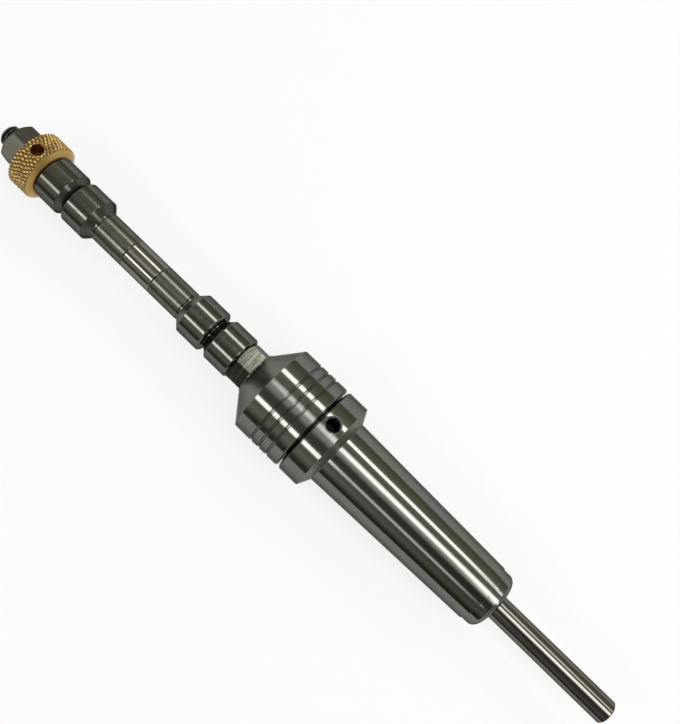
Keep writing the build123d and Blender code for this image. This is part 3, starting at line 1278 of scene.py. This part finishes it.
@dataclass
class Studio:
    """White board, soft lamps, dim room and the camera over the part."""

    floor_reach: float = 12000.0
    # The room's colours by the sine of the height over the horizon, on the two sides
    left_room: Stops = (
        (0.0, "#9d9a82"),
        (0.2, "#a5a28a"),
        (0.36, "#bab7a0"),
        (0.6, "#cfcdb9"),
        (0.85, "#c3c1b2"),
        (1.0, "#99988e"),
    )
    right_room: Stops = (
        (0.0, "#656359"),
        (0.2, "#6b6960"),
        (0.36, "#b6b4a5"),
        (0.5, "#d9d8c7"),
        (0.66, "#bebcae"),
        (0.8, "#a09e92"),
        (0.92, "#88877c"),
        (1.0, "#87867e"),
    )
    # The same, beyond both ends of the part
    end_room: Stops = (
        (0.0, "#f2f2ee"),
        (0.3, "#e6e5de"),
        (0.5, "#f6f6f2"),
        (0.75, "#c8c6bb"),
        (1.0, "#b0aea4"),
    )
    tail_corner: str = "#c0beb3"
    tail_dimming: float = 0.52
    room_strength: float = 0.85
    lens: float = 41.0
    sensor: float = 36.0
    nearest: float = 10.0
    camera_place: Point = (4.8565, -0.0991, 200.0)
    camera_right: Point = (-0.7203565, -0.6936024, 0.0015310)
    camera_up: Point = (0.6895354, -0.7158903, 0.1097356)
    camera_forward: Point = (0.0750168, -0.0801044, -0.9939597)
    lamps: tuple[Lamp, ...] = (
        Lamp("left_strip", (45, -332, 304), 410, 100, 5.95),
        Lamp("left_strip_tail", (-230, -313, 324), 140, 90, 3.74),
        Lamp("right_strip", (150, 258, 369), 300, 100, 5.95),
        Lamp("right_strip_nut", (360, 258, 369), 120, 100, 3.23),
        Lamp("right_strip_tail", (-80, 261, 367), 160, 100, 2.12, 0.9),
        Lamp("overhead", (-596, -126, 485), 1208, 185, 5.87, 0.8),
        Lamp("overhead_tail", (-270, -43, 490), 200, 170, 3.23, 1.0),
        Lamp("overhead_nose", (49, -124, 485), 82, 165, 3.06, 1.0),
        Lamp("overhead_spill", (-100, -20, 500), 400, 240, 0.85, 1.0),
        Lamp("overhead_far", (232, -12, 500), 100, 260, 0.85, 0.6),
    )

    def lay_floor(self) -> None:
        """Lay the board under the part, level with its lowest point."""
        reach, level = self.floor_reach * MM, CAD_BOX[0].z
        corners = [(-reach, -reach), (reach, -reach), (reach, reach), (-reach, reach)]
        mesh = bpy.data.meshes.new("white_board")
        mesh.from_pydata([(x, y, level) for x, y in corners], [], [(0, 1, 2, 3)])
        mesh.materials.append(PaintedBoard().material())
        floor = bpy.data.objects.new("white_board", mesh)
        bpy.context.scene.collection.objects.link(floor)

    def _room_part(
        self, tree: bpy.types.NodeTree, rise: bpy.types.NodeSocket, colours: Stops
    ) -> bpy.types.Node:
        """Add the colours of one part of the room.

        Args:
            tree: Node tree of the world.
            rise: Sine of the height over the horizon.
            colours: Colours by that sine.

        Returns:
            The node that gives the colour.
        """
        ramp = add_node(tree, "ValToRGB", {0: rise})
        elements = ramp.color_ramp.elements
        elements.remove(elements[-1])
        elements[0].position, elements[0].color = colours[0][0], linear(colours[0][1])
        for place, code in colours[1:]:
            elements.new(place).color = linear(code)
        return ramp

    def light(self) -> None:
        """Hang the lamps and set the room: its left side is paler than its right."""
        for lamp in self.lamps:
            lamp.hang()
        world = bpy.data.worlds.new("dim_room")
        bpy.context.scene.world = world
        world.use_nodes = True
        tree = world.node_tree
        way = add_node(tree, "TexCoord").outputs["Generated"]
        slant, across, rise = add_node(tree, "SeparateXYZ", {0: way}).outputs
        left = self._room_part(tree, rise, self.left_room)
        right = self._room_part(tree, rise, self.right_room)
        ends = self._room_part(tree, rise, self.end_room)
        dim = add_node(tree, "MapRange", {0: slant, **TAIL_ENDS, 3: self.tail_dimming})
        dimmed = add_node(tree, "Mix", {0: 1.0, 6: right, 7: dim}, **MULTIPLIED)
        side = add_node(tree, "MapRange", {0: across, **SIDE_ENDS}, **SMOOTH)
        sides = add_node(tree, "Mix", {0: side, 6: left, 7: dimmed}, **BLENDED)
        # Beyond both ends of the part the room is pale, which the cones and bevels show, but
        # for a dim corner straight behind the shank
        away = add_node(tree, "Math", {0: slant}, operation="ABSOLUTE")
        far = add_node(tree, "MapRange", {0: away, **FAR_ENDS}, **SMOOTH)
        corner = add_node(tree, "MapRange", {0: slant, **CORNER_ENDS}, **SMOOTH)
        colours = {6: ends, 7: linear(self.tail_corner)}
        beyond = add_node(tree, "Mix", {0: corner, **colours}, **BLENDED)
        room = add_node(tree, "Mix", {0: far, 6: sides, 7: beyond}, **BLENDED)
        inputs = {"Color": room, "Strength": self.room_strength}
        connect(tree, tree.nodes["Background"], inputs)

    def place_camera(self) -> None:
        """Set the camera where the photograph was taken from."""
        data = bpy.data.cameras.new("view_camera")
        data.lens = self.lens
        data.sensor_width = self.sensor
        data.sensor_fit = "AUTO"
        data.clip_start = self.nearest * MM
        camera = bpy.data.objects.new("view_camera", data)
        axes = (Vector(self.camera_right), Vector(self.camera_up), -Vector(self.camera_forward))
        turn = Matrix(axes).transposed().to_4x4()
        camera.matrix_world = Matrix.Translation(Vector(self.camera_place) * MM) @ turn
        bpy.context.scene.collection.objects.link(camera)
        bpy.context.scene.camera = camera
        bpy.context.scene.view_settings.view_transform = "Standard"


def dress_collet() -> None:
    """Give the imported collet, of which only the mouth shows, its hardened finish."""
    collet = frame["nodes"]["collet"]
    collet.data.materials.clear()
    collet.data.materials.append(Finish.SPRING.material())
    LOG.info("collet dressed")


def main() -> None:
    """Build the studio, then the part piece by piece."""
    logging.basicConfig(level=logging.INFO)
    studio = Studio()
    studio.place_camera()
    studio.lay_floor()
    studio.light()
    ArborPiece().build()
    CloserPiece().build()
    dress_collet()
    ShaftPiece().build()
    for node in ("bush_1", "bush_2"):
        BushPiece(node, towards_nut=False).build()
    for node in ("bush_3", "bush_4"):
        BushPiece(node, towards_nut=True).build()
    SleevePiece("sleeve_rear", Finish.SLEEVE).build()
    SleevePiece("sleeve_middle", Finish.DRAWN).build()
    SleevePiece("sleeve_front", Finish.SLEEVE).build()
    nuts = NutPair()
    nuts.build_knurled_nut()
    nuts.build_lock_nut()
    bpy.context.view_layer.update()


if __name__ == "__main__":
    main()
